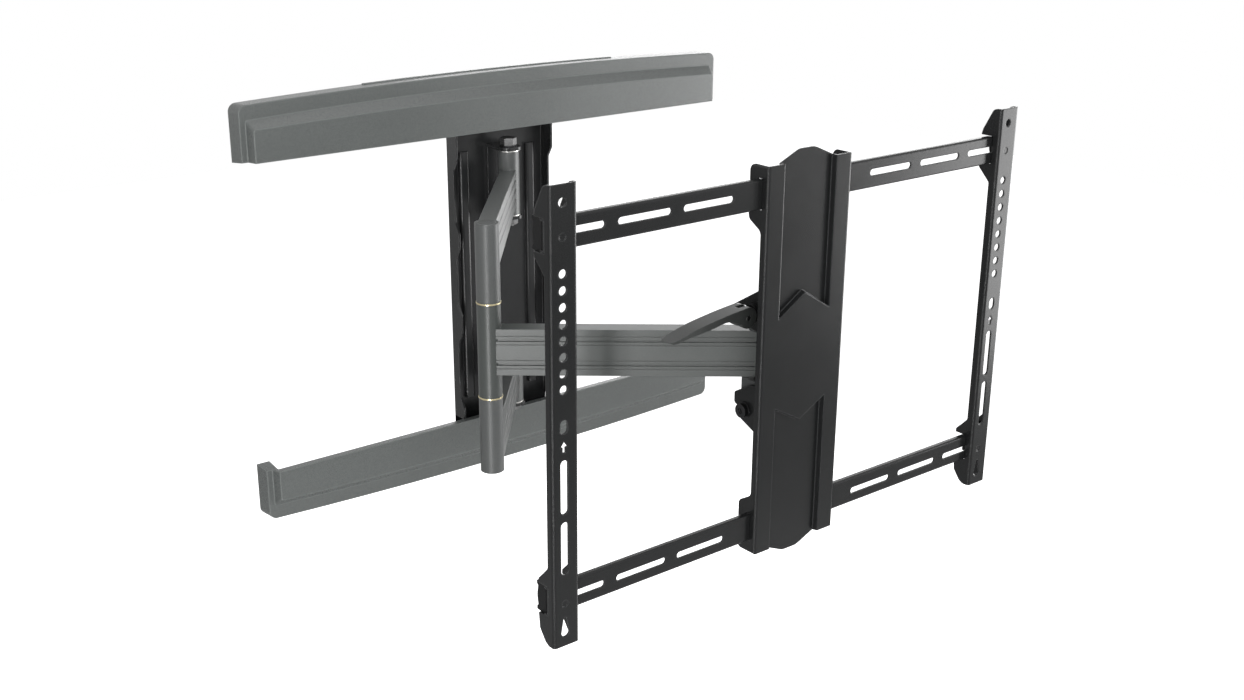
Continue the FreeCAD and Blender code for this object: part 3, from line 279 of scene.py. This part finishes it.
def coated(name, rgb, roughness, sheen, edge=1.0, edge_highlight_lift=2.2, heading=None, streak=0.0):
    """Powder coat: fine grain, faint cloudy colour, uneven gloss and a painted highlight that lightens the
    edges.

    Where a heading is given, in degrees, lines drawn along the piece are laid over the grain."""
    made, tree, shader, place = fresh(name)
    fine = noise(tree, place, 1.0 / metals().grain, 2.0, 0.6)
    cloud = noise(tree, place, CLOUDS, 2.0)
    tone = mixed(tree, ranged(tree, cloud, 0.0, 1.0), scaled(rgb, 0.96), scaled(rgb, 1.04))
    speck = mixed(tree, ranged(tree, fine, 0.0, 0.35), tone, scaled(rgb, 1.35))
    height = fine
    if heading is not None:
        turn = (0.0, 0.0, math.radians(heading))
        lines = noise(tree, stretched(tree, place, DRAWN_LINES, turn), 1.0, 2.0)
        speck = mixed(tree, ranged(tree, lines, 0.0, streak), speck, scaled(rgb, 1.6))
        add = tree.nodes.new("ShaderNodeMath")
        add.operation = "ADD"
        tree.links.new(fine, add.inputs[0])
        tree.links.new(lines, add.inputs[1])
        height = add.outputs["Value"]
    soft = relief(tree, shader, height, COAT_RELIEF, COAT_DEPTH, metals().edge * edge)
    # Painted highlight: the base colour is made lighter along the edges, where bends catch the light
    painted_edge_highlight = mixed(tree, edge_share(tree, soft), speck, scaled(rgb, edge_highlight_lift))
    tree.links.new(painted_edge_highlight, shader.inputs["Base Color"])
    gloss = ranged(tree, noise(tree, place, GLOSS_PATCHES, 2.0), roughness - 0.01, roughness + 0.015)
    tree.links.new(gloss, shader.inputs["Roughness"])
    shader.inputs["Specular IOR Level"].default_value = sheen
    return made


def moulded(name, rgb, roughness, sheen, edge=1.0):
    """Spark-textured plastic: round pits from a cell pattern over a fine noise."""
    made, tree, shader, place = fresh(name)
    grain = metals().grain
    cells = tree.nodes.new("ShaderNodeTexVoronoi")
    cells.inputs["Scale"].default_value = 1.1 / grain
    tree.links.new(place, cells.inputs["Vector"])
    fine = noise(tree, place, 1.6 / grain, 2.0, 0.6)
    add = tree.nodes.new("ShaderNodeMath")
    add.operation = "ADD"
    tree.links.new(cells.outputs["Distance"], add.inputs[0])
    tree.links.new(fine, add.inputs[1])
    soft = relief(tree, shader, add.outputs["Value"], PLASTIC_RELIEF, COAT_DEPTH, metals().edge * edge)
    flow = noise(tree, stretched(tree, place, PLASTIC_FLOW), 1.0, 2.0)
    tone = mixed(tree, ranged(tree, flow, 0.0, 1.0), scaled(rgb, 0.94), scaled(rgb, 1.06))
    speck = mixed(tree, ranged(tree, fine, 0.0, 0.5), tone, scaled(rgb, 1.4))
    coarse = noise(tree, place, 0.45 / grain, 2.0, 0.7)
    speck = mixed(tree, ranged(tree, coarse, 0.0, 0.5), speck, scaled(rgb, 0.80))
    # Painted highlight: the base colour is made lighter along the edges, where bends catch the light
    painted_edge_highlight = mixed(tree, edge_share(tree, soft), speck, scaled(rgb, 2.3))
    tree.links.new(painted_edge_highlight, shader.inputs["Base Color"])
    tree.links.new(ranged(tree, fine, roughness - 0.04, roughness + 0.06), shader.inputs["Roughness"])
    shader.inputs["Specular IOR Level"].default_value = sheen
    return made


def turned_metal(name, rgb, roughness, edge, along=RINGS_UPRIGHT):
    """Turned or plated metal: fine rings across its axis, faint stains and a painted highlight along the
    edges.
    """
    made, tree, shader, place = fresh(name)
    rings = noise(tree, stretched(tree, place, along), 1.0, 2.0)
    stain = noise(tree, place, STAINS, 3.0)
    soft = relief(tree, shader, rings, RING_RELIEF, RING_DEPTH, metals().edge * edge)
    tone = mixed(tree, ranged(tree, stain, 0.0, 1.0), scaled(rgb, 0.78), scaled(rgb, 1.06))
    # Painted highlight: the base colour is made lighter along the edges
    metal_edge_highlight = mixed(tree, edge_share(tree, soft), tone, scaled(rgb, 1.25))
    tree.links.new(metal_edge_highlight, shader.inputs["Base Color"])
    tree.links.new(ranged(tree, rings, roughness - 0.08, roughness + 0.10), shader.inputs["Roughness"])
    shader.inputs["Metallic"].default_value = 1.0
    return made


def finish_nodes(material, *names):
    """Gives CAD nodes one material in place of the plain ones they came with."""
    for name in names:
        slots = NODES[name].data.materials
        slots.clear()
        slots.append(material)


# Operators, one for each group of like pieces

class MOUNT_OT_covers(bpy.types.Operator):
    """Finish the two long wall covers"""
    bl_idname = "mount.covers"
    bl_label = "Covers"

    def execute(self, context):
        coat = coats()
        plastic = moulded("Cover plastic", coat.cover, coat.cover_roughness, coat.cover_sheen, COVER_EDGE)
        finish_nodes(plastic, "upper_cover", "lower_cover")
        return {"FINISHED"}


class MOUNT_OT_wall_steel(bpy.types.Operator):
    """Finish the wall plate, its rails and the pivot brackets"""
    bl_idname = "mount.wall_steel"
    bl_label = "Wall steel"

    def execute(self, context):
        coat = coats()
        steel = coated("Wall steel coat", coat.wall, coat.steel_roughness, coat.wall_sheen, edge_highlight_lift=3.0)
        finish_nodes(steel, "wall_plate", "upper_wall_rail", "lower_wall_rail", "upper_pivot_bracket",
                     "lower_pivot_bracket")
        return {"FINISHED"}


class MOUNT_OT_arms(bpy.types.Operator):
    """Finish the inner arms and the outer arm with drawn lines along their length"""
    bl_idname = "mount.arms"
    bl_label = "Arms"

    def execute(self, context):
        coat = coats()
        inner = coated("Inner arm coat", coat.inner, coat.arm_roughness, coat.arm_sheen, INNER_EDGE,
                       edge_highlight_lift=1.5, heading=INNER_LINES, streak=0.25)
        finish_nodes(inner, "upper_inner_arm", "lower_inner_arm")
        outer = coated("Outer arm coat", coat.outer, coat.arm_roughness, coat.arm_sheen, OUTER_EDGE,
                       edge_highlight_lift=1.6, heading=OUTER_LINES, streak=0.3)
        finish_nodes(outer, "outer_arm")
        return {"FINISHED"}


class MOUNT_OT_head(bpy.types.Operator):
    """Finish the swivel head and the tilt lever"""
    bl_idname = "mount.head"
    bl_label = "Head and lever"

    def execute(self, context):
        coat = coats()
        head = coated("Head coat", coat.head, coat.steel_roughness, coat.arm_sheen)
        finish_nodes(head, "swivel_head")
        lever = coated("Lever coat", coat.lever, coat.arm_roughness, coat.lever_sheen, edge_highlight_lift=3.0)
        finish_nodes(lever, "tilt_lever")
        return {"FINISHED"}


class MOUNT_OT_display_steel(bpy.types.Operator):
    """Finish the centre plate, tilt bracket, crossbars and uprights"""
    bl_idname = "mount.display_steel"
    bl_label = "Display steel"

    def execute(self, context):
        coat = coats()
        # The strong edge lift paints highlights along the bends
        steel = coated("Display steel coat", coat.display, coat.steel_roughness, coat.steel_sheen,
                       DISPLAY_EDGE, edge_highlight_lift=4.0)
        finish_nodes(steel, "centre_plate", "tilt_bracket", "upper_crossbar", "lower_crossbar",
                     "left_upright", "right_upright")
        return {"FINISHED"}


class MOUNT_OT_small_parts(bpy.types.Operator):
    """Finish the bolts, nuts, washers, bushes, clips and caps"""
    bl_idname = "mount.small_parts"
    bl_label = "Small parts"

    def execute(self, context):
        coat, metal = coats(), metals()
        zinc = turned_metal("Zinc plate", metal.zinc, metal.zinc_roughness, METAL_EDGE)
        finish_nodes(zinc, "rail_rivets", "upper_pivot_bolt", "lower_pivot_bolt", "pivot_nut", "dome_nut",
                     "pan_bolt", "elbow_shaft")
        pale = turned_metal("Pale bush", metal.pale, metal.pale_roughness, BUSH_EDGE)
        finish_nodes(pale, "pivot_bushes")
        across = turned_metal("Zinc plate across", metal.zinc, metal.zinc_roughness, METAL_EDGE, RINGS_ACROSS)
        finish_nodes(across, "side_nuts", "clamp_bolt", "lever_pin")
        dark = turned_metal("Dark washer", metal.dark, metal.dark_roughness, METAL_EDGE)
        finish_nodes(dark, "pivot_washers", "tilt_washers", "tilt_bolt")
        brass = turned_metal("Brass bush", metal.brass, metal.brass_roughness, BUSH_EDGE)
        finish_nodes(brass, "elbow_bushes", "pan_washers")
        plastic = moulded("Clip plastic", coat.clips, coat.clip_roughness, coat.clip_sheen)
        finish_nodes(plastic, "left_clips", "right_clips", "clamp_saddle")
        cap = moulded("Cap plastic", coat.inner, coat.cap_roughness, coat.cap_sheen)
        finish_nodes(cap, "elbow_caps")
        return {"FINISHED"}


# Stage

def soft_light(name, place, size, brightness):
    """A soft box: its power is its brightness times its area times pi, and the camera doesn't see it."""
    lamp = bpy.data.lights.new(name, "AREA")
    lamp.shape = "RECTANGLE"
    lamp.size, lamp.size_y = size
    lamp.energy = brightness * size[0] * size[1] * math.pi
    made = bpy.data.objects.new(name, lamp)
    made.location = place
    made.rotation_mode = "QUATERNION"
    made.rotation_quaternion = (Vector(LIGHTS_AIM) - Vector(place)).to_track_quat("-Z", "Y")
    made.visible_camera = False
    bpy.context.scene.collection.objects.link(made)


def white_where_seen(tree, out, lit, seen):
    """Joins two backgrounds: the seen one for camera, glossy and transmission rays."""
    path = tree.nodes.new("ShaderNodeLightPath")
    most = tree.nodes.new("ShaderNodeMath")
    most.operation = "MAXIMUM"
    again = tree.nodes.new("ShaderNodeMath")
    again.operation = "MAXIMUM"
    tree.links.new(path.outputs["Is Camera Ray"], most.inputs[0])
    tree.links.new(path.outputs["Is Glossy Ray"], most.inputs[1])
    tree.links.new(most.outputs["Value"], again.inputs[0])
    tree.links.new(path.outputs["Is Transmission Ray"], again.inputs[1])
    mix = tree.nodes.new("ShaderNodeMixShader")
    tree.links.new(again.outputs["Value"], mix.inputs[0])
    tree.links.new(lit.outputs[0], mix.inputs[1])
    tree.links.new(seen.outputs[0], mix.inputs[2])
    tree.links.new(mix.outputs[0], out.inputs["Surface"])


class MOUNT_OT_stage(bpy.types.Operator):
    """Set the floor, the soft lights, the white surround and the camera"""
    bl_idname = "mount.stage"
    bl_label = "Stage"

    def execute(self, context):
        scene = context.scene
        values = scene.mount_stage
        world = bpy.data.worlds.new("Pale studio")
        scene.world = world
        world.use_nodes = True
        tree = world.node_tree
        tree.nodes.clear()
        out = tree.nodes.new("ShaderNodeOutputWorld")
        lit = tree.nodes.new("ShaderNodeBackground")
        lit.inputs["Color"].default_value = (1.0, 1.0, 1.0, 1.0)
        lit.inputs["Strength"].default_value = values.fill
        seen = tree.nodes.new("ShaderNodeBackground")
        seen.inputs["Color"].default_value = (1.0, 1.0, 1.0, 1.0)
        seen.inputs["Strength"].default_value = 1.0
        white_where_seen(tree, out, lit, seen)
        self.floor(scene, cad_low.z - values.floor_drop)
        for name, place, size, value in LIGHTS:
            soft_light(name, place, size, getattr(values, value))
        self.camera(scene)
        scene.view_settings.view_transform = "Standard"
        return {"FINISHED"}

    def floor(self, scene, height):
        """One big square, plain and pale, that the camera sees as white."""
        reach = 6.0
        mesh = bpy.data.meshes.new("Floor")
        corners = [(-reach, -reach, height), (reach, -reach, height), (reach, reach, height),
                   (-reach, reach, height)]
        mesh.from_pydata(corners, [], [(0, 1, 2, 3)])
        floor = bpy.data.objects.new("Floor", mesh)
        scene.collection.objects.link(floor)
        made, tree, shader, _ = fresh("Pale floor")
        shader.inputs["Base Color"].default_value = (0.9, 0.9, 0.9, 1.0)
        shader.inputs["Roughness"].default_value = 0.9
        shader.inputs["Emission Color"].default_value = (1.0, 1.0, 1.0, 1.0)
        path = tree.nodes.new("ShaderNodeLightPath")
        tree.links.new(path.outputs["Is Camera Ray"], shader.inputs["Emission Strength"])
        mesh.materials.append(made)

    def camera(self, scene):
        """Looks along its yaw and dip from its place, then rolls about that line."""
        yaw, dip, roll = (math.radians(a) for a in (CAMERA_YAW, CAMERA_DIP, CAMERA_ROLL))
        ahead = Vector((math.sin(yaw) * math.cos(dip), math.cos(yaw) * math.cos(dip), -math.sin(dip)))
        right = Vector((math.cos(yaw), -math.sin(yaw), 0.0))
        above = right.cross(ahead)
        across = right * math.cos(roll) + above * math.sin(roll)
        upright = above * math.cos(roll) - right * math.sin(roll)
        data = bpy.data.cameras.new("Camera")
        data.sensor_width = SENSOR_WIDTH
        data.lens = CAMERA_LENS
        data.clip_start = 0.05
        data.clip_end = 50.0
        made = bpy.data.objects.new("Camera", data)
        turn = Matrix((across, upright, -ahead)).transposed().to_4x4()
        made.matrix_world = Matrix.Translation(CAMERA_PLACE) @ turn
        scene.collection.objects.link(made)
        scene.camera = made


class MOUNT_PT_panel(bpy.types.Panel):
    """Lists the sizes and colours, and the steps that use them"""
    bl_idname = "MOUNT_PT_panel"
    bl_label = "Wall Mount"
    bl_space_type = "VIEW_3D"
    bl_region_type = "UI"
    bl_category = "Wall Mount"

    def draw(self, context):
        for name in ("mount_coats", "mount_metals", "mount_stage"):
            group = getattr(context.scene, name)
            box = self.layout.box()
            for prop in group.__annotations__:
                box.prop(group, prop)
        for step in STEPS:
            self.layout.operator(step.bl_idname)


STEPS = (MOUNT_OT_covers, MOUNT_OT_wall_steel, MOUNT_OT_arms, MOUNT_OT_head, MOUNT_OT_display_steel,
         MOUNT_OT_small_parts, MOUNT_OT_stage)
GROUPS = (("mount_coats", MountCoats), ("mount_metals", MountMetals), ("mount_stage", MountStage))


def register():
    """Adds the value groups to the scene, then the operators and the panel."""
    for name, group in GROUPS:
        bpy.utils.register_class(group)
        setattr(bpy.types.Scene, name, PointerProperty(type=group))
    for made in (*STEPS, MOUNT_PT_panel):
        bpy.utils.register_class(made)


def unregister():
    """Takes away what register adds."""
    for made in reversed((*STEPS, MOUNT_PT_panel)):
        bpy.utils.unregister_class(made)
    for name, group in reversed(GROUPS):
        delattr(bpy.types.Scene, name)
        bpy.utils.unregister_class(group)


def main():
    """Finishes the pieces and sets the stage."""
    register()
    bpy.ops.mount.covers()
    bpy.ops.mount.wall_steel()
    bpy.ops.mount.arms()
    bpy.ops.mount.head()
    bpy.ops.mount.display_steel()
    bpy.ops.mount.small_parts()
    bpy.ops.mount.stage()


if __name__ == "__main__":
    main()
